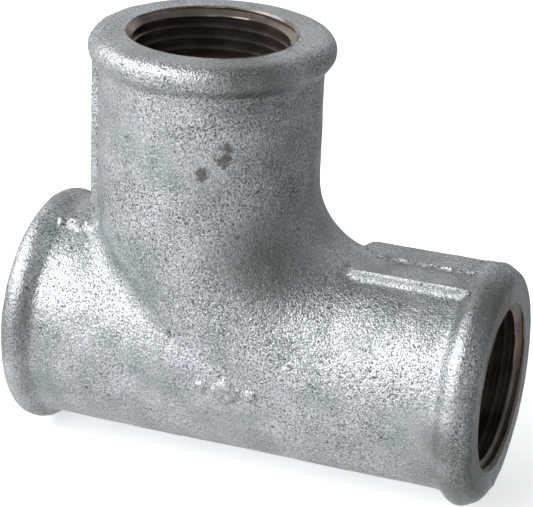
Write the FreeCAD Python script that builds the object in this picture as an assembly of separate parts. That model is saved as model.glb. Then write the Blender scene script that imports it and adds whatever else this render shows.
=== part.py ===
"""Pitcher tee, galvanised malleable cast iron, with three Rp 3/4 sockets.

The branch sweeps into the long arm of the run as a bend, and the short arm goes
straight on. The frame's origin is where the axes of the run and the branch cross.
+X points along the run to its long arm, and +Z points up the branch.
The flat pads lie along the parting plane, y = 0.
"""
import FreeCAD
import Part
import math
import os

# Centre-to-face lengths, mm
SHORT_ARM = 27.9
LONG_ARM = 49.8
BRANCH_ARM = 50.4

# Outside of the casting, mm
RUN_RADIUS = 17.4
BRANCH_RADIUS = 17.3
SWEEP_RADIUS = 27.0         # of the bend's centre line, from the branch to the long arm
BEAD_RADIUS = 19.15
BEAD_ROUND = 2.4            # radius of the bead's round section
BEAD_ROOT_FILLET = 1.0
CREASE_BLEND = 3.5          # fillet of the bend into the short arm, at the parting plane
CREASE_BLEND_END = 0.5      # and where it dies out on the run's side
CREASE_END = 8.0            # place along the run where it dies out
PAD_RISE = 0.55             # height of a pad's flat above its barrel
PAD_HALF_WIDTH = 5.9
PAD_ROOT_DEPTH = 3.5        # how far a pad's body reaches in below its barrel's surface
PAD_CORNER = 3.0            # rounding of a pad's free corners, seen from above
LONG_ARM_PAD_START = 24.5   # where the long arm's pad begins, from the branch axis

# Socket thread: 55 degree, 3/4 size, minor diameter 24.117, major 26.441
THREAD_MINOR_RADIUS = 24.117 / 2
THREAD_LENGTH = 15.0
MOUTH_RADIUS = 13.35
INNER_CHAMFER = 0.6
WATERWAY_RADIUS = 12.8      # as-cast bore behind the threads
BRANCH_WATERWAY_RADIUS = 12.7

ORIGIN = FreeCAD.Vector(0, 0, 0)
X_AXIS = FreeCAD.Vector(1, 0, 0)
Y_AXIS = FreeCAD.Vector(0, 1, 0)
Z_AXIS = FreeCAD.Vector(0, 0, 1)


def pointed_along(shape, direction):
    """Turn a shape made about +Z so that its axis lies along a direction."""
    turn = FreeCAD.Rotation(Z_AXIS, direction)
    shape.Placement = FreeCAD.Placement(ORIGIN, turn)
    return shape


def turned(edges):
    """Revolve a closed outline in the XZ plane a full turn about Z."""
    outline = Part.Wire(edges)
    return Part.Face(outline).revolve(ORIGIN, Z_AXIS, 360)


def outline_points(points):
    """Turn (radius, height) pairs into points of the XZ plane."""
    return [FreeCAD.Vector(radius, 0, height) for radius, height in points]


def polyline(points):
    """Straight edges through (radius, height) points."""
    corners = outline_points(points)
    return [Part.LineSegment(a, b).toShape() for a, b in zip(corners, corners[1:])]


def bead(barrel_radius, face, inward):
    """Root, crown and rim of a half-round bead whose barrel lies inward (+1 or -1) of its face."""
    centre_radius = BEAD_RADIUS - BEAD_ROUND
    back = math.sqrt(BEAD_ROUND**2 - (barrel_radius - centre_radius) ** 2)
    root = (barrel_radius, face + inward * (BEAD_ROUND + back))
    crown = (BEAD_RADIUS, face + inward * BEAD_ROUND)
    rim = (centre_radius, face)
    return root, crown, rim


def beaded_barrel(radius, low, high, low_bead):
    """Solid barrel about Z with a bead at its high end, and one at its low end if asked."""
    top = bead(radius, high, -1)
    roots = [top[0]]
    edges = [Part.Arc(*outline_points(top)).toShape()]
    edges += polyline([top[2], (0, high), (0, low)])
    if low_bead:
        bottom = bead(radius, low, 1)
        roots.append(bottom[0])
        edges += polyline([(0, low), bottom[2]])
        edges.append(Part.Arc(*outline_points(bottom[::-1])).toShape())
        edges += polyline([bottom[0], top[0]])
    else:
        edges += polyline([(0, low), (radius, low), top[0]])
    barrel = turned(edges)
    root_edges = [edge for root in roots for edge in circles_at(barrel, *root)]
    return barrel.makeFillet(BEAD_ROOT_FILLET, root_edges)


def circles_at(shape, radius, height):
    """Round edges of one radius and height about Z."""
    found = []
    for edge in shape.Edges:
        if not isinstance(edge.Curve, Part.Circle):
            continue
        same_radius = abs(edge.Curve.Radius - radius) < 1e-6
        same_height = abs(edge.Curve.Center.z - height) < 1e-6
        if same_radius and same_height:
            found.append(edge)
    return found


def bend(radius):
    """Quarter bend from the branch's axis to the run's, ended square to both."""
    start = FreeCAD.Vector(0, 0, SWEEP_RADIUS)
    circle = Part.Wire(Part.Circle(start, Z_AXIS, radius).toShape())
    centre = FreeCAD.Vector(SWEEP_RADIUS, 0, SWEEP_RADIUS)
    return Part.Face(circle).revolve(centre, -Y_AXIS, 90)


def blended_arms():
    """Run, bend and branch as one solid, filleted where the bend meets the short arm."""
    arms = pointed_along(beaded_barrel(RUN_RADIUS, -SHORT_ARM, LONG_ARM, True), X_AXIS)
    branch = beaded_barrel(BRANCH_RADIUS, SWEEP_RADIUS, BRANCH_ARM, False)
    arms = arms.fuse(branch.fuse(bend(BRANCH_RADIUS))).removeSplitter()
    room = 2 * (LONG_ARM + BRANCH_ARM)
    front = Part.makeBox(room, room, room, FreeCAD.Vector(-room / 2, -room, -room / 2))
    short = Part.makeBox(room, room, room, FreeCAD.Vector(CREASE_END - room, -room, -room / 2))
    half = arms.common(front)
    short_half = half.common(short)
    crease = [edge for edge in short_half.Edges if is_crease(edge)]
    radii = [CREASE_BLEND, CREASE_BLEND_END]
    if crease[0].firstVertex().X > crease[0].lastVertex().X:
        radii.reverse()
    short_half = short_half.makeFillet(radii[0], radii[1], crease)
    half = short_half.fuse(half.cut(short))
    return half.fuse(half.mirror(ORIGIN, Y_AXIS))


def is_crease(edge):
    """True for the curve where the bend meets the run's barrel."""
    box = edge.BoundBox
    on_run = box.ZMin > 1.0 and box.ZMax < RUN_RADIUS + 0.1
    return on_run and box.YLength > 0.9 * BRANCH_RADIUS


def pad(low, high):
    """Box between two (x, z) corners, as wide as a pad, centred on the parting plane."""
    corner = FreeCAD.Vector(low[0], -PAD_HALF_WIDTH, low[1])
    return Part.makeBox(high[0] - low[0], 2 * PAD_HALF_WIDTH, high[1] - low[1], corner)


def pads():
    """Pads on the tops of both run arms and on the branch's short-arm side."""
    run_root = RUN_RADIUS - PAD_ROOT_DEPTH
    run_flat = RUN_RADIUS + PAD_RISE
    branch_root = PAD_ROOT_DEPTH - BRANCH_RADIUS
    branch_flat = -BRANCH_RADIUS - PAD_RISE
    long_arm = pad((LONG_ARM_PAD_START, run_root), (LONG_ARM - BEAD_ROUND, run_flat))
    corners = [edge for edge in long_arm.Edges if is_free_corner(edge)]
    long_arm = long_arm.makeFillet(PAD_CORNER, corners)
    short_arm = pad((BEAD_ROUND - SHORT_ARM, run_root), (branch_root, run_flat))
    branch = pad((branch_flat, run_root), (branch_root, BRANCH_ARM - BEAD_ROUND))
    return [long_arm, short_arm, branch]


def is_free_corner(edge):
    """True for the upright edges at the start of the long arm's pad."""
    box = edge.BoundBox
    return box.ZLength > PAD_RISE and box.XMax < LONG_ARM_PAD_START + 0.1 and box.YLength < 0.1


def tee_casting():
    """The galvanised casting, bored for its sockets and hollow between them."""
    casting = blended_arms()
    for one_pad in pads():
        casting = casting.fuse(one_pad)
    run_length = LONG_ARM + SHORT_ARM
    run_start = FreeCAD.Vector(-SHORT_ARM, 0, 0)
    branch_start = FreeCAD.Vector(0, 0, SWEEP_RADIUS)
    branch_length = BRANCH_ARM - SWEEP_RADIUS
    waterway = Part.makeCylinder(WATERWAY_RADIUS, run_length, run_start, X_AXIS)
    waterway = waterway.fuse(bend(BRANCH_WATERWAY_RADIUS))
    upright = Part.makeCylinder(BRANCH_WATERWAY_RADIUS, branch_length, branch_start, Z_AXIS)
    casting = casting.cut(waterway.fuse(upright))
    for reach, direction in SOCKETS.values():
        floor = direction * (reach - THREAD_LENGTH)
        seat = Part.makeCylinder(MOUTH_RADIUS, THREAD_LENGTH, floor, direction)
        casting = casting.cut(seat)
    return casting.removeSplitter()


def socket_thread(reach, direction):
    """The machined lining of one socket: chamfered mouth, then bore at the thread's crests."""
    mouth_chamfer = MOUTH_RADIUS - THREAD_MINOR_RADIUS
    floor = reach - THREAD_LENGTH
    outline = [
        (MOUTH_RADIUS, floor),
        (MOUTH_RADIUS, reach),
        (THREAD_MINOR_RADIUS, reach - mouth_chamfer),
        (THREAD_MINOR_RADIUS, floor + INNER_CHAMFER),
        (THREAD_MINOR_RADIUS + INNER_CHAMFER, floor),
        (MOUTH_RADIUS, floor),
    ]
    return pointed_along(turned(polyline(outline)), direction)


SOCKETS = {
    "left_socket_thread": (SHORT_ARM, -X_AXIS),
    "right_socket_thread": (LONG_ARM, X_AXIS),
    "branch_socket_thread": (BRANCH_ARM, Z_AXIS),
}


def main():
    """Write one STEP file for each sub-part."""
    os.makedirs("parts", exist_ok=True)
    shapes = {"tee_casting": tee_casting()}
    for name, (reach, direction) in SOCKETS.items():
        shapes[name] = socket_thread(reach, direction)
    for name, shape in shapes.items():
        solid = shape.Solids[0]
        solid.exportStep(f"parts/{name}.step")
        print(name, "valid", solid.isValid(), "solids", len(shape.Solids), "volume", round(solid.Volume))


main()
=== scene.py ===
"""Looks of a galvanised malleable-iron pitcher tee with three threaded sockets.

The casting is one smooth body: its beaded barrels, blends and pads are a distance
field that is turned into a mesh, roughened like cast metal and then bored. Each
socket's thread is a helix made with Geometry Nodes.
"""
import logging
import math
from collections.abc import Callable
from dataclasses import dataclass, field
from enum import Enum
from functools import reduce

import bmesh
import bpy
import numpy as np
from mathutils import Matrix, Vector, noise


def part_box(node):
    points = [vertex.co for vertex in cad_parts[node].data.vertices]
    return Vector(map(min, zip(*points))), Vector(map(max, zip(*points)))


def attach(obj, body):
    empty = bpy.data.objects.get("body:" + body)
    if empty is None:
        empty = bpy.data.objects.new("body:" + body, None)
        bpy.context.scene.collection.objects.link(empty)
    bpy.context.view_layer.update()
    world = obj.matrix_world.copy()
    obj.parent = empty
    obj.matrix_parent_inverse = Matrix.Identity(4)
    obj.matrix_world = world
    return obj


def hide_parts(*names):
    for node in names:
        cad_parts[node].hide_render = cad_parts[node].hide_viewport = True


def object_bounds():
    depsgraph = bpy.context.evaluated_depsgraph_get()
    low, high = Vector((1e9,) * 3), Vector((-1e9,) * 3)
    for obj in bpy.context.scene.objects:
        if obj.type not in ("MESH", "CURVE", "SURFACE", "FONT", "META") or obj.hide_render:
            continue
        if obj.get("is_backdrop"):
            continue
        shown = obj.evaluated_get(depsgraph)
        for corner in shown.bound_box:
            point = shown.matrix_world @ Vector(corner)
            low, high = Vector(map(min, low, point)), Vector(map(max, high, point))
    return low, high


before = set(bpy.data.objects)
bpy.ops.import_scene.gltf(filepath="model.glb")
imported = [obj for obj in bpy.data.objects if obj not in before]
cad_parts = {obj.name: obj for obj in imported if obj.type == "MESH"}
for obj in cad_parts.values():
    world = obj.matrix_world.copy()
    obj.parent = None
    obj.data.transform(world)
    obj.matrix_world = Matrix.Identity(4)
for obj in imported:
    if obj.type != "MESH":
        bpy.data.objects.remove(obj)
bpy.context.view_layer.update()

LOG = logging.getLogger("tee")
MM = 0.001
BODY = "root"
RING_SEGMENTS = 144         # facets round a socket, shared by its bore and its thread
SHARP_ANGLE = math.radians(38)
FINE_DETAIL = 2.0           # octaves of a noise whose cells are near the grain's size
COARSE_DETAIL = 5.0         # and of one that makes wide patches
TINY = 1e-6                 # keeps a division from meeting nought


# ---------------------------------------------------------------------------
# Shared helpers
# ---------------------------------------------------------------------------


def add_node(
    tree: bpy.types.NodeTree,
    kind: str,
    inputs: dict[int | str, object] | None = None,
    **settings: object,
) -> bpy.types.Node:
    """Add one node with its settings, values and links.

    Args:
        tree: Node tree that takes the node.
        kind: Blender's type name of the node.
        inputs: Input socket by index or name, and the value or output socket it gets.
        **settings: Properties of the node, set before its inputs.

    Returns:
        The new node.
    """
    node = tree.nodes.new(kind)
    for name, value in settings.items():
        setattr(node, name, value)
    for key, value in (inputs or {}).items():
        if isinstance(value, bpy.types.NodeSocket):
            tree.links.new(value, node.inputs[key])
        else:
            node.inputs[key].default_value = value
    return node


def linear(hex_colour: str) -> tuple[float, float, float, float]:
    """Turn an sRGB hex colour into linear red, green, blue and alpha.

    Args:
        hex_colour: Colour such as "#8C9193".

    Returns:
        The four linear channels, with alpha 1.
    """
    channels = [int(hex_colour[i:i + 2], 16) / 255 for i in (1, 3, 5)]
    curve = [c / 12.92 if c <= 0.04045 else ((c + 0.055) / 1.055) ** 2.4 for c in channels]
    return (curve[0], curve[1], curve[2], 1.0)


def per_metre(size_mm: float) -> float:
    """Texture scale on Object coordinates that makes one cell of a pattern this many millimetres."""
    return 1.0 / (size_mm * MM)


def new_object(name: str, mesh: bpy.types.Mesh) -> bpy.types.Object:
    """Link a mesh to the scene as an object at the origin.

    Args:
        name: Name of the piece.
        mesh: Its mesh, in metres in the frame.

    Returns:
        The new object.
    """
    made = bpy.data.objects.new(name, mesh)
    bpy.context.scene.collection.objects.link(made)
    return made


def frozen_mesh(source: bpy.types.Object) -> bpy.types.Mesh:
    """Evaluate an object's modifiers, keep the result as its own mesh and drop the modifiers.

    Args:
        source: Object with live modifiers.

    Returns:
        The plain mesh that the object now has.
    """
    bpy.context.view_layer.update()
    evaluated = source.evaluated_get(bpy.context.evaluated_depsgraph_get())
    mesh = bpy.data.meshes.new_from_object(evaluated)
    source.modifiers.clear()
    source.data = mesh
    return mesh


def close_and_shade(mesh: bpy.types.Mesh) -> None:
    """Turn a closed mesh's faces outwards and shade it smooth, with its real edges sharp.

    Args:
        mesh: Mesh to finish in place.
    """
    work = bmesh.new()
    work.from_mesh(mesh)
    bmesh.ops.recalc_face_normals(work, faces=work.faces)
    work.to_mesh(mesh)
    work.free()
    mesh.shade_smooth()
    mesh.set_sharp_from_angle(angle=SHARP_ANGLE)


def drilled(name: str, stations: list[tuple[float, float, float, float]]) -> bpy.types.Mesh:
    """Make a round, closed bore whose centre line runs in the XZ plane.

    Args:
        name: Name of the mesh.
        stations: X, Z, heading and radius of each ring, in millimetres and radians. A
            heading of nought runs down, and a quarter turn runs along +X.

    Returns:
        A closed mesh in metres.
    """
    turns = np.arange(RING_SEGMENTS) * 2 * math.pi / RING_SEGMENTS
    points = []
    for x, z, heading, radius in stations:
        side = radius * np.cos(turns)
        ring = (x + side * math.cos(heading), radius * np.sin(turns), z + side * math.sin(heading))
        points.append(np.stack(ring, 1))
    mesh = bpy.data.meshes.new(name)
    faces = [tuple(range(RING_SEGMENTS))]
    for k in range(len(stations) - 1):
        low, high = k * RING_SEGMENTS, (k + 1) * RING_SEGMENTS
        for i in range(RING_SEGMENTS):
            j = (i + 1) % RING_SEGMENTS
            faces.append((low + i, low + j, high + j, high + i))
    last = (len(stations) - 1) * RING_SEGMENTS
    faces.append(tuple(range(last, last + RING_SEGMENTS)))
    mesh.from_pydata((np.concatenate(points) * MM).tolist(), [], faces)
    close_and_shade(mesh)
    return mesh


class Way(Enum):
    """Directions in which a socket opens, as turns of a shape made to open along +Z."""

    LEFT = Matrix.Rotation(-math.pi / 2, 4, "Y")
    RIGHT = Matrix.Rotation(math.pi / 2, 4, "Y")
    UP = Matrix.Identity(4)


# ---------------------------------------------------------------------------
# The shape of the casting
# ---------------------------------------------------------------------------


@dataclass(frozen=True)
class TeeSizes:
    """Sizes of the tee in millimetres: reaches from the frame, sections from its drawing."""

    short_arm: float
    long_arm: float
    branch_arm: float
    bead_radius: float
    thread_length: float
    mouth_radius: float
    run_radius: float = 17.4
    branch_radius: float = 17.3
    sweep_radius: float = 27.0
    bead_round: float = 2.4
    bead_fillet: float = 1.3
    crease_blend: float = 3.5
    pad_rise: float = 0.55
    pad_half_width: float = 5.9
    pad_start: float = 24.5
    waterway_radius: float = 12.8

    @classmethod
    def from_frame(cls) -> "TeeSizes":
        """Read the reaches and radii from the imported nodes.

        Returns:
            The tee's sizes.
        """
        low, high = (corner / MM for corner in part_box("tee_casting"))
        ring_low, ring_high = (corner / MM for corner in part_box("branch_socket_thread"))
        return cls(
            short_arm=-low.x,
            long_arm=high.x,
            branch_arm=high.z,
            bead_radius=high.y,
            thread_length=ring_high.z - ring_low.z,
            mouth_radius=ring_high.y,
        )

    def sockets(self) -> dict[str, tuple[Way, float]]:
        """Name each socket's node, with the way it opens and its reach.

        Returns:
            Way and reach by the node's name.
        """
        return {
            "left_socket_thread": (Way.LEFT, self.short_arm),
            "right_socket_thread": (Way.RIGHT, self.long_arm),
            "branch_socket_thread": (Way.UP, self.branch_arm),
        }


def smooth_union(a: np.ndarray, b: np.ndarray, width: float) -> np.ndarray:
    """Join two distance fields with a soft fillet.

    Args:
        a: First field.
        b: Second field.
        width: How near the two surfaces are, in millimetres, where the fillet begins.

    Returns:
        The joined field.
    """
    near = np.maximum(width - np.abs(a - b), 0.0) / width
    return np.minimum(a, b) - near**2 * width / 4


def round_union(a: np.ndarray, b: np.ndarray, radius: np.ndarray) -> np.ndarray:
    """Join two distance fields with the fillet of a ball rolled along their corner.

    Args:
        a: First field.
        b: Second field.
        radius: The ball's radius, already scaled for the corner's angle.

    Returns:
        The joined field.
    """
    ball = np.hypot(np.maximum(radius - a, 0.0), np.maximum(radius - b, 0.0))
    return np.maximum(radius, np.minimum(a, b)) - ball


def rounded_box(gaps: list[np.ndarray], rounding: float) -> np.ndarray:
    """Distance to a box from the signed gaps to its pairs of faces, with rounded edges.

    Args:
        gaps: Signed distance past each pair of faces.
        rounding: Edge radius in millimetres.

    Returns:
        The box's distance field.
    """
    out = [gap + rounding for gap in gaps]
    beyond = sum(np.maximum(gap, 0.0) ** 2 for gap in out)
    within = np.minimum(reduce(np.maximum, out), 0.0)
    return np.sqrt(beyond) + within - rounding


@dataclass(frozen=True)
class FoundryMark:
    """Raised generic mark on the run's front: a lozenge between two round pips, in millimetres."""

    along_run: float = 10.5
    height: float = -1.2
    lozenge: float = 2.3
    lozenge_spread: float = 0.9
    lozenge_slope: float = 1.35
    pip_radius: float = 0.95
    pip_gap: float = 4.1
    rise: float = 0.5
    edge: float = 0.5

    def relief(self, x: np.ndarray, y: np.ndarray, z: np.ndarray) -> np.ndarray:
        """Height of the mark above the barrel.

        Args:
            x: Places along the run.
            y: Places across it.
            z: Heights.

        Returns:
            The rise at each point.
        """
        across, up = x - self.along_run, z - self.height
        lozenge = (np.abs(across) * self.lozenge_spread + np.abs(up) - self.lozenge) / self.lozenge_slope
        pips = np.hypot(np.abs(across) - self.pip_gap, up) - self.pip_radius
        inside = np.clip(0.5 - np.minimum(lozenge, pips) / self.edge, 0.0, 1.0)
        return self.rise * inside**2 * (3 - 2 * inside) * (y < 0)


@dataclass(frozen=True)
class CastingForm:
    """Distance field of the casting before it is bored, in millimetres.

    The two halves of the mould met at y = 0 a little out of line, which leaves a step
    and a trace of flash along the parting line.
    """

    sizes: TeeSizes
    mark: FoundryMark = field(default_factory=FoundryMark)
    long_crown: float = 0.9
    crown_lean: float = 0.55
    least_crease: float = 1e-3
    pad_join: float = 0.8
    pad_edge: float = 0.5
    pad_corner: float = 3.0
    pad_half_depth: float = 3.0
    pad_inner_end: float = 14.0
    step_setback: float = 0.8
    step_inset: float = 0.3
    step_corner: float = 5.5
    step_rise: float = 0.42
    short_pad_drop: float = 0.15
    short_pad_rag: float = 1.4
    rag_waves: tuple[tuple[float, float, float], ...] = ((0.22, 1.7, 0.0), (0.13, 4.3, 1.0))
    half_shift: tuple[float, float] = (0.10, 0.08)
    half_blend: float = 0.3
    flash_rise: float = 0.10
    flash_width: float = 0.4

    def beaded_barrel(
        self,
        radius: float,
        from_axis: np.ndarray,
        from_face: np.ndarray,
        crown_width: np.ndarray | float,
    ) -> np.ndarray:
        """Distance to a barrel with a rounded bead behind its face.

        Args:
            radius: The barrel's radius.
            from_axis: Distance of each point from the barrel's axis.
            from_face: Depth of each point behind the nearest face.
            crown_width: Length of the crown between the bead's two quarter rounds, which
                leans in towards the face.

        Returns:
            The barrel's distance field.
        """
        bead = self.sizes.bead_round
        crown = self.sizes.bead_radius - bead
        barrel = np.maximum(from_axis - radius, bead - from_face)
        lean = crown_width * self.crown_lean
        out, back = from_axis - crown + lean, from_face - bead
        along = (out * lean + back * crown_width) / np.maximum(lean**2 + crown_width**2, TINY)
        along = np.clip(along, 0.0, 1.0)
        end = np.maximum(out, -from_face)
        ring = np.hypot(out - along * lean, back - along * crown_width) - bead
        return smooth_union(barrel, np.minimum(end, ring), self.sizes.bead_fillet)

    def swept(self, x: np.ndarray, z: np.ndarray) -> tuple[np.ndarray, np.ndarray]:
        """Distance in the XZ plane from the line that comes down the branch and bends along the run.

        Args:
            x: Position along the run.
            z: Height.

        Returns:
            The signed distance, and the upward part of the direction in which it grows.
        """
        bend = self.sizes.sweep_radius
        reach = np.hypot(x - bend, z - bend)
        in_bend = (x < bend) & (z < bend)
        upright = z >= x
        distance = np.where(in_bend, reach - bend, np.where(upright, x, z))
        rise = np.where(in_bend, (z - bend) / np.maximum(reach, TINY), np.where(upright, 0.0, 1.0))
        return distance, rise

    def crease_radius(self, cosine: np.ndarray) -> np.ndarray:
        """Radius that fillets two surfaces alike at every angle, and fades where they run together.

        Args:
            cosine: Cosine of the angle between the surfaces' normals.

        Returns:
            The radius at each point.
        """
        half_angle = np.sqrt((1 + np.clip(cosine, 0.0, 1.0)) / 2)
        square_corner = 1 - math.sqrt(0.5)
        return np.maximum(self.sizes.crease_blend * (1 - half_angle) / square_corner, self.least_crease)

    def ragged(self, along: np.ndarray) -> np.ndarray:
        """How far a parting edge wanders from its straight line, by the place along it."""
        return sum(height * np.sin(pace * along + start) for height, pace, start in self.rag_waves)

    def slab(self, above: np.ndarray) -> np.ndarray:
        """Distance to a pad's slab from the height above its flat."""
        return np.abs(above + self.pad_half_depth) - self.pad_half_depth

    def run_pads(self, x: np.ndarray, y: np.ndarray, z: np.ndarray) -> np.ndarray:
        """Distance to the pads on the tops of both arms, with the step that lies on the long one.

        Args:
            x: Places along the run.
            y: Places across it.
            z: Heights.

        Returns:
            The pads' distance field.
        """
        sizes = self.sizes
        above = z - sizes.run_radius - sizes.pad_rise
        across = np.abs(y) - sizes.pad_half_width
        long_end = sizes.long_arm - sizes.bead_round
        middle, half = (long_end + sizes.pad_start) / 2, (long_end - sizes.pad_start) / 2
        plan = rounded_box([np.abs(x - middle) - half, across], self.pad_corner)
        long_pad = rounded_box([plan, self.slab(above)], self.pad_edge)
        step_start = sizes.pad_start + self.step_setback
        step_plan = rounded_box([step_start - x, self.ragged(x) - y], self.step_corner)
        step_plan = np.maximum(plan + self.step_inset, step_plan)
        step = rounded_box([step_plan, self.slab(above - self.step_rise)], self.step_rise / 2)
        short_start, short_end = sizes.bead_round - sizes.short_arm, -self.pad_inner_end
        middle, half = (short_start + short_end) / 2, (short_end - short_start) / 2
        short_across = across + self.short_pad_rag * self.ragged(x)
        short_slab = self.slab(above + self.short_pad_drop)
        short_pad = rounded_box([np.abs(x - middle) - half, short_across, short_slab], self.pad_edge)
        return np.minimum(np.minimum(long_pad, step), short_pad)

    def branch_pad(self, x: np.ndarray, y: np.ndarray, z: np.ndarray) -> np.ndarray:
        """Distance to the pad on the branch's short-arm side.

        Args:
            x: Places along the run.
            y: Places across it.
            z: Heights.

        Returns:
            The pad's distance field.
        """
        sizes = self.sizes
        low, high = self.pad_inner_end, sizes.branch_arm - sizes.bead_round
        across = np.abs(y) - sizes.pad_half_width
        slab = self.slab(-x - sizes.branch_radius - sizes.pad_rise)
        return rounded_box([np.abs(z - (high + low) / 2) - (high - low) / 2, across, slab], self.pad_edge)

    def distance(self, x: np.ndarray, y: np.ndarray, z: np.ndarray) -> np.ndarray:
        """Signed distance from the casting's skin, negative inside.

        Args:
            x: Places along the run.
            y: Places across it.
            z: Heights.

        Returns:
            The casting's distance field.
        """
        sizes = self.sizes
        half = 0.5 + 0.5 * np.tanh(y / self.half_blend)
        x = x - self.half_shift[0] * half
        z = z - self.half_shift[1] * half
        from_run = np.hypot(y, z)
        run_depth = np.minimum(x + sizes.short_arm, sizes.long_arm - x)
        run_crown = np.where(x > 0, self.long_crown, 0.0)
        run = self.beaded_barrel(sizes.run_radius, from_run, run_depth, run_crown)
        run = run - self.mark.relief(x, y, z)
        aside, rise = self.swept(x, z)
        from_sweep = np.hypot(aside, y)
        sweep = self.beaded_barrel(sizes.branch_radius, from_sweep, sizes.branch_arm - z, 0.0)
        sweep = np.maximum(sweep, x - sizes.sweep_radius)
        cosine = (y**2 + z * aside * rise) / np.maximum(from_run * from_sweep, TINY)
        body = round_union(run, sweep, self.crease_radius(cosine))
        pads = np.minimum(self.run_pads(x, y, z), self.branch_pad(x, y, z))
        body = smooth_union(body, pads, self.pad_join)
        return body - self.flash_rise * np.exp(-((y / self.flash_width) ** 2))


class SurfaceNet:
    """Turns a distance field into a mesh of quads, one vertex for each cell that the skin crosses."""

    PROBE = 0.05            # millimetres on each side of a point at which the slope is taken
    SETTLE_STEPS = 3

    def __init__(self, distance: Callable[..., np.ndarray], cell: float) -> None:
        """Keep the field and the grid's cell size.

        Args:
            distance: Field of three coordinate arrays, in millimetres.
            cell: Edge of a grid cell, in millimetres.
        """
        self.distance = distance
        self.cell = cell

    def build(self, low: np.ndarray, high: np.ndarray) -> tuple[np.ndarray, np.ndarray]:
        """Mesh the field's zero surface inside a box.

        Args:
            low: Lowest corner.
            high: Highest corner.

        Returns:
            Vertices in millimetres, and quads that face outwards.
        """
        lines = [np.arange(a, b + self.cell, self.cell) for a, b in zip(low, high)]
        grid = self.distance(*np.meshgrid(*lines, indexing="ij", sparse=True))
        inside = grid < 0
        total = np.zeros([n - 1 for n in grid.shape] + [3], np.float32)
        count = np.zeros([n - 1 for n in grid.shape], np.float32)
        crossings = [self._crossings(grid, inside, axis, total, count) for axis in range(3)]
        cells = np.argwhere(count > 0)
        index = np.full(count.shape, -1, np.int64)
        index[tuple(cells.T)] = np.arange(len(cells))
        offset = total[tuple(cells.T)] / count[tuple(cells.T)][:, None]
        vertices = np.asarray(low) + (cells + offset) * self.cell
        quads = [self._quads(index, inside, crossed, axis) for axis, crossed in enumerate(crossings)]
        return self.settle(vertices), np.concatenate(quads)

    def normals(self, vertices: np.ndarray) -> tuple[np.ndarray, np.ndarray]:
        """Distance and unit outward normal of the field at points.

        Args:
            vertices: Points in millimetres.

        Returns:
            The distance at each point, and the normals.
        """
        slopes = []
        for axis in range(3):
            step = np.zeros(3)
            step[axis] = self.PROBE
            ahead, behind = self.distance(*(vertices + step).T), self.distance(*(vertices - step).T)
            slopes.append((ahead - behind) / (2 * self.PROBE))
        gradient = np.stack(slopes, 1)
        length = np.maximum(np.linalg.norm(gradient, axis=1, keepdims=True), TINY)
        return self.distance(*vertices.T) / length[:, 0], gradient / length

    def settle(self, vertices: np.ndarray) -> np.ndarray:
        """Move vertices onto the zero surface.

        Args:
            vertices: Points near the surface, in millimetres.

        Returns:
            The moved points.
        """
        for _ in range(self.SETTLE_STEPS):
            away, normal = self.normals(vertices)
            vertices = vertices - np.clip(away, -self.cell / 2, self.cell / 2)[:, None] * normal
        return vertices

    def _crossings(
        self, grid: np.ndarray, inside: np.ndarray, axis: int, total: np.ndarray, count: np.ndarray
    ) -> np.ndarray:
        """Add where grid edges along one axis cross the skin to the four cells round each edge.

        Args:
            grid: The field at the grid's points.
            inside: Which points lie inside.
            axis: Direction of the edges.
            total: Sum of the crossings in each cell, added to in place.
            count: Number of crossings in each cell, added to in place.

        Returns:
            Which edges cross the skin.
        """
        size = grid.shape[axis]
        start, stop = np.take(grid, range(size - 1), axis), np.take(grid, range(1, size), axis)
        crossed = np.take(inside, range(size - 1), axis) != np.take(inside, range(1, size), axis)
        along = np.where(crossed, start / np.where(crossed, start - stop, 1.0), 0.0)
        b, c = (axis + 1) % 3, (axis + 2) % 3
        for shift_b in (0, 1):
            for shift_c in (0, 1):
                window = [slice(None)] * 3
                window[b] = slice(shift_b, grid.shape[b] - 1 + shift_b)
                window[c] = slice(shift_c, grid.shape[c] - 1 + shift_c)
                hit = crossed[tuple(window)]
                count += hit
                total[..., axis] += along[tuple(window)]
                total[..., b] += hit * shift_b
                total[..., c] += hit * shift_c
        return crossed

    def _quads(self, index: np.ndarray, inside: np.ndarray, crossed: np.ndarray, axis: int) -> np.ndarray:
        """Join the four cells round every crossed edge of one axis with a quad.

        Args:
            index: Vertex number of each cell.
            inside: Which grid points lie inside.
            crossed: Which edges cross the skin.
            axis: Direction of the edges.

        Returns:
            Quads as rows of four vertex numbers.
        """
        b, c = (axis + 1) % 3, (axis + 2) % 3
        edges = np.argwhere(crossed)
        corners = []
        for back_b, back_c in ((1, 1), (0, 1), (0, 0), (1, 0)):
            cell = edges.copy()
            cell[:, b] -= back_b
            cell[:, c] -= back_c
            corners.append(index[tuple(cell.T)])
        quads = np.stack(corners, 1)
        leaves = inside[tuple(edges.T)]
        return np.where(leaves[:, None], quads, quads[:, ::-1])


# ---------------------------------------------------------------------------
# Finishes
# ---------------------------------------------------------------------------


@dataclass(frozen=True)
class SoilAndShadePatch:
    """A dark patch on the zinc, soil, and at the right bead also painted shade: where it is and how far it
    spreads, in millimetres.
    """

    centre: tuple[float, float, float]
    reach: float


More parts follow.
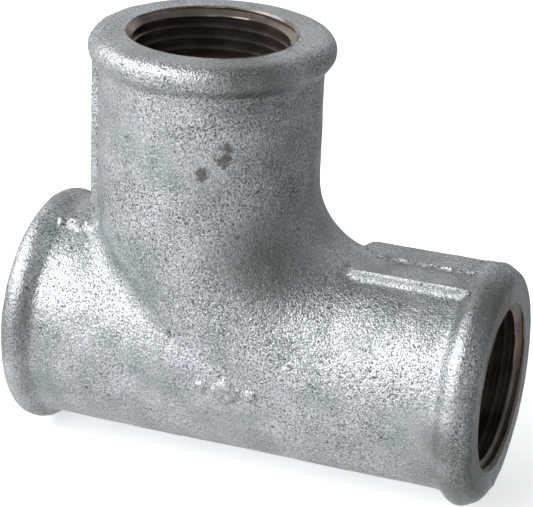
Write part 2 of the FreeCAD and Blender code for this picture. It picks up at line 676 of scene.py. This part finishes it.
@dataclass(frozen=True)
class GalvanisedCastIron:
    """Malleable iron cast in sand, then dipped in molten zinc.

    The sand's grain shows through the zinc as a fine peel that breaks every highlight
    into specks, with dark pores between bright grains: painted shade in the grain's
    hollows and painted highlight on its raised tops. The zinc is a dull grey, mottled,
    and soiled brown-grey where the hooks and drips of the dip left it; at the right bead
    and its socket face the dark patches are also painted shade.
    """

    light_zinc: str = "#C5C9CD"
    dull_zinc: str = "#A1A7A6"
    # Painted shade in the grain's hollows, and the colour of the pits
    pit_and_hollow_shade: str = "#434445"
    # Painted highlight on the grain's raised tops
    crest_highlight_tint: str = "#F2F4F6"
    # Tint of the soil patches, and of the painted shade at the right bead and its socket face
    soil_and_shade: str = "#666660"
    spot: str = "#4E4740"
    grain_mm: float = 0.28
    peel_mm: float = 0.8
    mottle_mm: float = 6.0
    patch_mm: float = 13.0
    spot_mm: float = 1.4
    grain_depth_mm: float = 0.14
    peel_depth_mm: float = 0.14
    metallic: float = 0.8
    # Soil patches; the four at x 45.5 to 50.5 also paint shade on the right bead and its socket face
    soil_and_shade_patches: tuple[SoilAndShadePatch, ...] = (
        SoilAndShadePatch((14.0, -12.0, 18.0), 11.0),
        SoilAndShadePatch((50.5, -13.0, -8.0), 15.0),
        SoilAndShadePatch((50.5, -6.0, 15.0), 11.0),
        SoilAndShadePatch((46.0, -18.0, -3.0), 6.5),
        SoilAndShadePatch((45.5, -16.0, -10.0), 7.0),
        SoilAndShadePatch((12.0, -14.0, 48.0), 10.0),
        SoilAndShadePatch((-27.5, -15.0, 3.0), 9.0),
    )
    spots: tuple[SoilAndShadePatch, ...] = (
        SoilAndShadePatch((8.8, -15.0, 37.4), 2.0),
        SoilAndShadePatch((8.2, -15.3, 36.0), 2.6),
        SoilAndShadePatch((5.4, -16.5, 33.4), 2.2),
    )

    def material(self) -> bpy.types.Material:
        """Build the zinc-coated finish.

        Returns:
            The material.
        """
        made = bpy.data.materials.new("galvanised_cast_iron")
        made.use_nodes = True
        tree = made.node_tree
        tree.nodes.clear()
        place = add_node(tree, "ShaderNodeTexCoord").outputs["Object"]
        # Name, size of a cell, and detail
        noises = (
            ("grain", self.grain_mm, FINE_DETAIL),
            ("peel", self.peel_mm, FINE_DETAIL),
            ("spot", self.spot_mm, FINE_DETAIL),
            ("mottle", self.mottle_mm, COARSE_DETAIL),
            ("patch", self.patch_mm, COARSE_DETAIL),
        )
        fields = {
            name: add_node(
                tree, "ShaderNodeTexNoise", {"Vector": place, "Scale": per_metre(size), "Detail": detail}
            ).outputs["Fac"]
            for name, size, detail in noises
        }
        # Nearness to the soil patches, which are painted shade at the right bead, and to the drip spots
        fields["soil_and_painted_shade"] = self.nearness(tree, place, fields["mottle"], self.soil_and_shade_patches)
        fields["drip"] = self.nearness(tree, place, fields["spot"], self.spots)
        # Name, field, the band of the field, and the range it is spread over
        bands = (
            ("mottled", "mottle", 0.36, 0.64, 0.0, 1.0),
            ("polish", "mottle", 0.3, 0.7, 0.34, 0.22),
            # Painted shade: the grain's low hollows, where its bump dips, take the dark pore colour
            ("painted_hollow_shade", "grain", 0.30, 0.50, 0.95, 0.0),
            # Painted highlight: the grain's raised tops, where its bump rises, take near-white flecks
            ("painted_crest_highlight", "grain", 0.52, 0.68, 0.0, 0.75),
            ("grainy", "patch", 0.36, 0.60, 0.45, 1.1),
            ("pitted", "spot", 0.68, 0.73, 0.0, 0.7),
            # Soil, and painted shade at the right bead and its socket face
            ("soiled_and_shaded", "soil_and_painted_shade", 0.1, 0.8, 0.0, 0.7),
            ("spotted", "drip", 0.40, 0.70, 0.0, 0.75),
        )
        share = {
            name: add_node(
                tree, "ShaderNodeMapRange",
                {"Value": fields[field_name], "From Min": low, "From Max": high, "To Min": start,
                 "To Max": end},
            ).outputs["Result"]
            for name, field_name, low, high, start, end in bands
        }
        for name in ("painted_hollow_shade", "painted_crest_highlight"):
            share[name] = add_node(
                tree, "ShaderNodeMath", {0: share[name], 1: share["grainy"]}, operation="MULTIPLY"
            ).outputs[0]
        layers = (
            ("mottled", self.light_zinc), ("painted_crest_highlight", self.crest_highlight_tint), ("painted_hollow_shade", self.pit_and_hollow_shade),
            ("pitted", self.pit_and_hollow_shade), ("soiled_and_shaded", self.soil_and_shade), ("spotted", self.spot),
        )
        colour = linear(self.dull_zinc)
        for name, tint in layers:
            colour = add_node(
                tree, "ShaderNodeMix", {0: share[name], 6: colour, 7: linear(tint)}, data_type="RGBA"
            ).outputs[2]
        bumped = {}
        for name, depth in (("peel", self.peel_depth_mm), ("grain", self.grain_depth_mm)):
            bumped = {"Normal": add_node(
                tree, "ShaderNodeBump",
                {"Height": fields[name], "Strength": 1.0, "Distance": depth * MM, **bumped},
            ).outputs["Normal"]}
        shader = add_node(
            tree, "ShaderNodeBsdfPrincipled",
            {"Base Color": colour, "Metallic": self.metallic, "Roughness": share["polish"], **bumped},
        )
        add_node(tree, "ShaderNodeOutputMaterial", {"Surface": shader.outputs["BSDF"]})
        return made

    def nearness(
        self,
        tree: bpy.types.NodeTree,
        place: bpy.types.NodeSocket,
        wander: bpy.types.NodeSocket,
        soil_and_shade_patches: tuple[SoilAndShadePatch, ...],
    ) -> bpy.types.NodeSocket:
        """Field that is 1 at the patches' centres and 0 at their reach, with a wandering edge.

        Args:
            tree: Node tree of the finish.
            place: Object coordinates.
            wander: Noise that unsettles the edge.
            soil_and_shade_patches: The dark patches: soil, drip spots and, at the right bead, painted shade.

        Returns:
            The field's socket.
        """
        nearest = None
        for soil_and_shade in soil_and_shade_patches:
            centre = tuple(value * MM for value in soil_and_shade.centre)
            away = add_node(tree, "ShaderNodeVectorMath", {0: place, 1: centre}, operation="DISTANCE")
            band = {"From Min": 0.0, "From Max": soil_and_shade.reach * MM, "To Min": 1.0, "To Max": 0.0}
            near = add_node(
                tree, "ShaderNodeMapRange", {"Value": away.outputs["Value"], **band}
            ).outputs["Result"]
            if nearest is not None:
                near = add_node(
                    tree, "ShaderNodeMath", {0: near, 1: nearest}, operation="MAXIMUM"
                ).outputs[0]
            nearest = near
        # Twice the noise is about 1 on average, so that the field keeps its range
        for factor in (wander, 2.0):
            nearest = add_node(
                tree, "ShaderNodeMath", {0: nearest, 1: factor}, operation="MULTIPLY"
            ).outputs[0]
        return nearest


@dataclass(frozen=True)
class TappedIron:
    """Malleable iron bored and tapped after galvanising, so it has no zinc on it.

    Bare iron is a dark brown-grey with a dull shine, fine tool marks that run round the
    hole, and a film of cutting oil and rust.
    """

    iron: str = "#A79D95"
    oiled: str = "#2B2420"
    rust: str = "#5B4231"
    tool_mark_mm: float = 0.22
    film_mm: float = 4.0
    tool_mark_depth_mm: float = 0.008
    tool_mark_strength: float = 0.6
    metallic: float = 0.9
    roughness: float = 0.27

    def material(self) -> bpy.types.Material:
        """Build the bare, machined finish.

        Returns:
            The material.
        """
        made = bpy.data.materials.new("tapped_malleable_iron")
        made.use_nodes = True
        tree = made.node_tree
        tree.nodes.clear()
        place = add_node(tree, "ShaderNodeTexCoord").outputs["Object"]
        film, grain = (
            add_node(
                tree, "ShaderNodeTexNoise", {"Vector": place, "Scale": per_metre(size), "Detail": detail}
            ).outputs["Fac"]
            for size, detail in ((self.film_mm, COARSE_DETAIL), (self.tool_mark_mm, FINE_DETAIL))
        )
        # Field, its band, the range it is spread over, and the tint laid on by that share
        layers = (
            (film, 0.30, 0.70, 0.35, 0.9, self.iron),
            (grain, 0.55, 0.75, 0.0, 0.3, self.rust),
        )
        colour = linear(self.oiled)
        for source, low, high, start, end, tint in layers:
            share = add_node(
                tree, "ShaderNodeMapRange",
                {"Value": source, "From Min": low, "From Max": high, "To Min": start, "To Max": end},
            ).outputs["Result"]
            colour = add_node(
                tree, "ShaderNodeMix", {0: share, 6: colour, 7: linear(tint)}, data_type="RGBA"
            ).outputs[2]
        marks = add_node(
            tree, "ShaderNodeBump",
            {"Height": grain, "Strength": self.tool_mark_strength, "Distance": self.tool_mark_depth_mm * MM},
        )
        shader = add_node(
            tree, "ShaderNodeBsdfPrincipled",
            {"Base Color": colour, "Metallic": self.metallic, "Roughness": self.roughness,
             "Normal": marks.outputs["Normal"]},
        )
        add_node(tree, "ShaderNodeOutputMaterial", {"Surface": shader.outputs["BSDF"]})
        return made


# ---------------------------------------------------------------------------
# The pieces
# ---------------------------------------------------------------------------


@dataclass
class Casting:
    """The galvanised body: its cast skin, roughened, then bored for water and sockets."""

    sizes: TeeSizes
    zinc: bpy.types.Material
    cell: float = 0.45
    swell_mm: float = 9.0
    swell_height: float = 0.10
    lump_mm: float = 2.6
    lump_height: float = 0.05
    grid_margin: float = 2.0
    bore_overshoot: float = 3.0
    branch_narrowing: float = 0.1
    bend_steps: int = 32

    def build(self) -> bpy.types.Object:
        """Make the casting, which stands for its CAD node.

        Returns:
            The piece.
        """
        net = SurfaceNet(CastingForm(self.sizes).distance, self.cell)
        wide = self.sizes.bead_radius
        low = np.array([-self.sizes.short_arm, -wide, -wide]) - self.grid_margin
        high = np.array([self.sizes.long_arm, wide, self.sizes.branch_arm]) + self.grid_margin
        vertices, quads = net.build(low, high)
        vertices = self.roughened(net, vertices)
        mesh = bpy.data.meshes.new("tee_body")
        mesh.from_pydata((vertices * MM).tolist(), [], quads.tolist())
        body = new_object("tee_body", mesh)
        for cutter in self.bores():
            cut = body.modifiers.new("bore", "BOOLEAN")
            cut.operation = "DIFFERENCE"
            cut.solver = "MANIFOLD"
            cut.object = cutter
            frozen_mesh(body)
            bpy.data.objects.remove(cutter)
        mesh = body.data
        mesh.shade_smooth()
        mesh.set_sharp_from_angle(angle=SHARP_ANGLE)
        mesh.materials.clear()
        mesh.materials.append(self.zinc)
        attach(body, BODY)
        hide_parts("tee_casting")
        return body

    def roughened(self, net: SurfaceNet, vertices: np.ndarray) -> np.ndarray:
        """Give the skin the slow swell and small lumps of a sand casting.

        Args:
            net: The surface that the vertices lie on.
            vertices: Points in millimetres.

        Returns:
            The moved points.
        """
        _, normal = net.normals(vertices)
        swell = np.array([noise.noise(Vector(p) / self.swell_mm) for p in vertices])
        lumps = np.array([noise.noise(Vector(p) / self.lump_mm) for p in vertices])
        height = swell * self.swell_height + lumps * self.lump_height - self.swell_height / 2
        return vertices + height[:, None] * normal

    def bores(self) -> list[bpy.types.Object]:
        """Make the two cutters: waterway and socket seats of the run, and of the swept branch.

        Returns:
            The cutters, the run's first.
        """
        sizes = self.sizes
        seat, water, depth = sizes.mouth_radius, sizes.waterway_radius, sizes.thread_length
        left, right, top, bend = -sizes.short_arm, sizes.long_arm, sizes.branch_arm, sizes.sweep_radius
        past = self.bore_overshoot
        along = [
            (left - past, seat), (left + depth, seat), (left + depth, water),
            (right - depth, water), (right - depth, seat), (right + past, seat),
        ]
        run = drilled("run_bore", [(x, 0.0, math.pi / 2, radius) for x, radius in along])
        narrow = water - self.branch_narrowing
        down = [(top + past, seat), (top - depth, seat), (top - depth, narrow)]
        turns = [step * math.pi / 2 / self.bend_steps for step in range(self.bend_steps + 1)]
        sweep = [(bend - bend * math.cos(t), bend - bend * math.sin(t), t, narrow) for t in turns]
        branch = drilled("branch_bore", [(0.0, z, 0.0, radius) for z, radius in down] + sweep)
        return [new_object(mesh.name, mesh) for mesh in (run, branch)]


class ThreadNodes:
    """Geometry Nodes tree of one tapped socket, made about Z with its mouth at z = 0.

    A sheet of rows and columns is rolled into a tube. Its rows climb one pitch for each
    turn, so that each follows one line of the 55 degree thread, and they pile up where
    the tube ends. The thread opens in a chamfer at both ends. The sheet's last two rows
    are the plain outer wall that closes it.
    """

    ROWS_PER_PITCH = 14
    TRIANGLE_HEIGHT = 0.9605    # of the sharp 55 degree thread, in pitches
    MERGE_DISTANCE = 2e-6       # metres

    SIZES = {
        "Pitch": 1.814,
        "Crest Radius": 24.117 / 2,
        "Root Radius": 26.441 / 2,
        "Mouth Radius": 13.35,
        "Length": 15.0,
        "Inner Chamfer": 0.6,
        "Edge Softness": 0.16,
    }

    def __init__(self, columns: int, material: bpy.types.Material) -> None:
        """Build the tree.

        Args:
            columns: Vertices round the socket.
            material: Finish of the socket.
        """
        # One turn's climb and a last row come on top of the rows that the length takes
        climbing = math.ceil(self.SIZES["Length"] / self.SIZES["Pitch"] * self.ROWS_PER_PITCH)
        self.rows = climbing + self.ROWS_PER_PITCH + 1
        self.tree = bpy.data.node_groups.new("tapped_socket", "GeometryNodeTree")
        self.tree.is_modifier = True
        face = self.tree.interface
        for name, value in self.SIZES.items():
            socket = face.new_socket(name, in_out="INPUT", socket_type="NodeSocketFloat")
            socket.default_value = value * MM
        face.new_socket("Geometry", in_out="OUTPUT", socket_type="NodeSocketGeometry")
        sheet = add_node(
            self.tree, "GeometryNodeMeshGrid",
            {"Size X": self.rows + 1.0, "Size Y": 1.0, "Vertices X": self.rows + 2,
             "Vertices Y": columns + 1},
        )
        rolled = add_node(
            self.tree, "GeometryNodeSetPosition",
            {"Geometry": sheet.outputs["Mesh"], "Position": self._rolled_position()},
        )
        closed = add_node(
            self.tree, "GeometryNodeMergeByDistance",
            {"Geometry": rolled.outputs["Geometry"], "Distance": self.MERGE_DISTANCE},
        )
        real = add_node(
            self.tree, "GeometryNodeRealizeInstances", {"Geometry": closed.outputs["Geometry"]}
        )
        finished = add_node(
            self.tree, "GeometryNodeSetMaterial",
            {"Geometry": real.outputs["Geometry"], "Material": material},
        )
        add_node(self.tree, "NodeGroupOutput", {"Geometry": finished.outputs["Geometry"]})

    def _rolled_position(self) -> bpy.types.NodeSocket:
        """Place of each vertex of the sheet once it is rolled into the socket.

        Returns:
            The position socket.
        """
        tree = self.tree
        place = add_node(tree, "GeometryNodeInputPosition").outputs[0]
        sheet = add_node(tree, "ShaderNodeSeparateXYZ", {0: place}).outputs
        known = {socket.name: socket for socket in add_node(tree, "NodeGroupInput").outputs}
        known |= {"across rows": sheet["X"], "share of turn": sheet["Y"]}
        # Result, operation and values: numbers, the tree's inputs, or results from above
        steps = (
            ("row", "ADD", "across rows", (self.rows + 1) / 2),
            ("is outer", "GREATER_THAN", "row", self.rows - 0.5),
            ("is not last", "LESS_THAN", "row", self.rows + 0.5),
            # Depth behind the mouth, along the helix and kept within the socket
            ("inner row", "MINIMUM", "row", self.rows - 1.0),
            ("pitches in", "DIVIDE", "inner row", self.ROWS_PER_PITCH),
            ("climb", "ADD", "share of turn", 0.5),
            ("pitches behind", "SUBTRACT", "pitches in", "climb"),
            ("helix depth", "MULTIPLY", "pitches behind", "Pitch"),
            ("from mouth", "MAXIMUM", "helix depth", 0.0),
            ("to end", "MINIMUM", "from mouth", "Length"),
            ("depth", "MULTIPLY", "to end", "is not last"),
            # Flanks of a right-hand thread: the wave runs from 0 to a half
            ("pitches deep", "DIVIDE", "depth", "Pitch"),
            ("phase", "ADD", "pitches deep", "share of turn"),
            ("wave", "PINGPONG", "phase", 0.5),
            ("height", "MULTIPLY", "Pitch", 2 * self.TRIANGLE_HEIGHT),
            ("centred", "SUBTRACT", "wave", 0.25),
            ("swing", "MULTIPLY", "centred", "height"),
            ("both radii", "ADD", "Crest Radius", "Root Radius"),
            ("mean radius", "MULTIPLY", "both radii", 0.5),
            ("flank", "ADD", "mean radius", "swing"),
            ("rooted", "SMOOTH_MIN", "flank", "Root Radius", "Edge Softness"),
            ("crested", "SMOOTH_MAX", "rooted", "Crest Radius", "Edge Softness"),
            # The chamfers at the mouth and at the inner end
            ("mouth", "SUBTRACT", "Mouth Radius", "depth"),
            ("opened", "MAXIMUM", "crested", "mouth"),
            ("left", "SUBTRACT", "Length", "depth"),
            ("flare", "ADD", "Crest Radius", "Inner Chamfer"),
            ("inner end", "SUBTRACT", "flare", "left"),
            ("tapped", "MAXIMUM", "opened", "inner end"),
            # The outer wall, then the roll about Z
            ("wall", "SUBTRACT", "Mouth Radius", "tapped"),
            ("radius", "MULTIPLY_ADD", "wall", "is outer", "tapped"),
            ("turn", "MULTIPLY", "share of turn", 2 * math.pi),
            ("cosine", "COSINE", "turn"),
            ("sine", "SINE", "turn"),
            ("x", "MULTIPLY", "radius", "cosine"),
            ("y", "MULTIPLY", "radius", "sine"),
            ("z", "MULTIPLY", "depth", -1.0),
        )
        for name, operation, *values in steps:
            inputs = {number: known.get(value, value) for number, value in enumerate(values)}
            known[name] = add_node(tree, "ShaderNodeMath", inputs, operation=operation).outputs[0]
        corners = {number: known[name] for number, name in enumerate("xyz")}
        return add_node(tree, "ShaderNodeCombineXYZ", corners).outputs[0]


@dataclass
class SocketThread:
    """One tapped and chamfered socket, which stands for its CAD lining."""

    node: str
    way: Way
    reach: float
    sizes: TeeSizes
    thread: ThreadNodes

    def build(self) -> bpy.types.Object:
        """Grow the thread with the node tree and put it in its arm.

        Returns:
            The piece.
        """
        piece = new_object(f"{self.node}_cut", bpy.data.meshes.new(self.node))
        grow = piece.modifiers.new("thread", "NODES")
        grow.node_group = self.thread.tree
        given = {"Length": self.sizes.thread_length, "Mouth Radius": self.sizes.mouth_radius}
        for item in self.thread.tree.interface.items_tree:
            if item.in_out == "INPUT" and item.name in given:
                grow[item.identifier] = given[item.name] * MM
        mesh = frozen_mesh(piece)
        mesh.transform(self.way.value @ Matrix.Translation((0, 0, self.reach * MM)))
        close_and_shade(mesh)
        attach(piece, BODY)
        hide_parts(self.node)
        return piece


# ---------------------------------------------------------------------------
# The studio
# ---------------------------------------------------------------------------


@dataclass(frozen=True)
class SoftBox:
    """One rectangular studio light that points at the tee, with its sides in metres."""

    name: str
    azimuth: float
    elevation: float
    distance: float
    width: float
    height: float
    watts: float


@dataclass(frozen=True)
class Studio:
    """Pale floor, large soft light at the left, room that darkens to the right, and long lens."""

    floor_height: float
    view_azimuth: float = 19.90
    view_elevation: float = 22.91
    view_roll: float = 2.26
    view_distance: float = 0.3547
    view_centre: tuple[float, float, float] = (0.01016, 0.0, 0.01529)
    lens: float = 152.0
    near_clip: float = 0.01
    floor_colour: str = "#F4F4F4"
    floor_roughness: float = 0.9
    floor_glow: float = 0.6
    floor_half: float = 1.5
    wall_colour: str = "#FAFAFB"
    bright_wall: float = 1.02
    dark_wall: float = 0.28
    wall_fade: tuple[float, float] = (-0.55, 0.9)
    wall_azimuth: float = -50.0
    wall_elevation: float = -25.0
    backdrop_glow: float = 0.9
    boxes: tuple[SoftBox, ...] = (
        SoftBox("key_box", -50.0, 37.0, 0.50, 0.84, 0.46, 3.0),
        SoftBox("rim_box", -160.0, 32.0, 0.50, 0.70, 0.35, 0.28),
    )

    def build(self) -> None:
        """Put up the floor, the walls' light, the soft boxes and the camera."""
        self.floor()
        self.walls()
        centre = Vector(self.view_centre)
        for box in self.boxes:
            light = bpy.data.lights.new(box.name, "AREA")
            light.shape = "RECTANGLE"
            light.size = box.width
            light.size_y = box.height
            light.energy = box.watts
            lamp = bpy.data.objects.new(box.name, light)
            back = self.direction(box.azimuth, box.elevation)
            lamp.location = centre + back * box.distance
            lamp.rotation_euler = (-back).to_track_quat("-Z", "Y").to_euler()
            bpy.context.scene.collection.objects.link(lamp)
        self.camera(centre)

    def direction(self, azimuth: float, elevation: float) -> Vector:
        """Unit vector from the tee towards a place round it.

        Args:
            azimuth: Degrees from the front, growing to the long arm's side.
            elevation: Degrees above the horizon.

        Returns:
            The unit vector.
        """
        a, e = math.radians(azimuth), math.radians(elevation)
        return Vector((math.sin(a) * math.cos(e), -math.cos(a) * math.cos(e), math.sin(e)))

    def floor(self) -> None:
        """Lay a wide matt floor that the tee's beads rest on."""
        half = self.floor_half
        corners = [(-half, -half), (half, -half), (half, half), (-half, half)]
        mesh = bpy.data.meshes.new("floor")
        mesh.from_pydata([(x, y, self.floor_height) for x, y in corners], [], [(0, 1, 2, 3)])
        paint = bpy.data.materials.new("matt_white_paint")
        paint.use_nodes = True
        shader = paint.node_tree.nodes["Principled BSDF"]
        shader.inputs["Base Color"].default_value = linear(self.floor_colour)
        shader.inputs["Roughness"].default_value = self.floor_roughness
        shader.inputs["Emission Color"].default_value = linear(self.floor_colour)
        shader.inputs["Emission Strength"].default_value = self.floor_glow
        mesh.materials.append(paint)
        floor = new_object("floor", mesh)
        # The walls and the soft boxes alone light the tee and show in it
        floor.visible_glossy = False
        floor.visible_diffuse = False
        floor.visible_shadow = False
        floor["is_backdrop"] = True

    def walls(self) -> None:
        """Light the tee from all round, brightest at the left wall and dimmest at the right."""
        world = bpy.data.worlds.new("studio")
        world.use_nodes = True
        tree = world.node_tree
        tree.nodes.clear()
        way = add_node(tree, "ShaderNodeTexCoord").outputs["Generated"]
        bright_way = self.direction(self.wall_azimuth, self.wall_elevation)
        facing = add_node(
            tree, "ShaderNodeVectorMath", {0: way, 1: bright_way}, operation="DOT_PRODUCT"
        ).outputs["Value"]
        fade_start, fade_end = self.wall_fade
        wall = add_node(
            tree, "ShaderNodeMapRange",
            {"Value": facing, "From Min": fade_start, "From Max": fade_end, "To Min": self.dark_wall,
             "To Max": self.bright_wall},
        ).outputs["Result"]
        # A view that looks past the floor meets a plain pale backdrop
        seen = add_node(tree, "ShaderNodeLightPath").outputs["Is Camera Ray"]
        strength = add_node(
            tree, "ShaderNodeMix", {0: seen, 2: wall, 3: self.backdrop_glow}, data_type="FLOAT"
        ).outputs[0]
        sky = add_node(
            tree, "ShaderNodeBackground", {"Color": linear(self.wall_colour), "Strength": strength}
        )
        add_node(tree, "ShaderNodeOutputWorld", {"Surface": sky.outputs["Background"]})
        bpy.context.scene.world = world
        bpy.context.scene.view_settings.view_transform = "Standard"

    def camera(self, centre: Vector) -> None:
        """Stand the camera at its viewing angle.

        Args:
            centre: The point it looks at.
        """
        lens = bpy.data.cameras.new("camera")
        lens.lens = self.lens
        lens.clip_start = self.near_clip
        camera = bpy.data.objects.new("camera", lens)
        bpy.context.scene.collection.objects.link(camera)
        back = self.direction(self.view_azimuth, self.view_elevation)
        level = (-back).to_track_quat("-Z", "Y").to_matrix().to_4x4()
        roll = Matrix.Rotation(math.radians(self.view_roll), 4, "Z")
        camera.matrix_world = Matrix.Translation(centre + back * self.view_distance) @ level @ roll
        bpy.context.scene.camera = camera


def main() -> None:
    """Build every piece in order, then the studio round them."""
    logging.basicConfig(level=logging.INFO, format="%(name)s: %(message)s")
    sizes = TeeSizes.from_frame()
    pieces = [Casting(sizes, GalvanisedCastIron().material()).build()]
    thread = ThreadNodes(RING_SEGMENTS, TappedIron().material())
    for node, (way, reach) in sizes.sockets().items():
        pieces.append(SocketThread(node, way, reach, sizes, thread).build())
    for piece in pieces:
        triangles = sum(len(polygon.vertices) - 2 for polygon in piece.data.polygons)
        LOG.info("%s: %d triangles", piece.name, triangles)
    Studio(floor_height=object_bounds()[0].z).build()


if __name__ == "__main__":
    main()
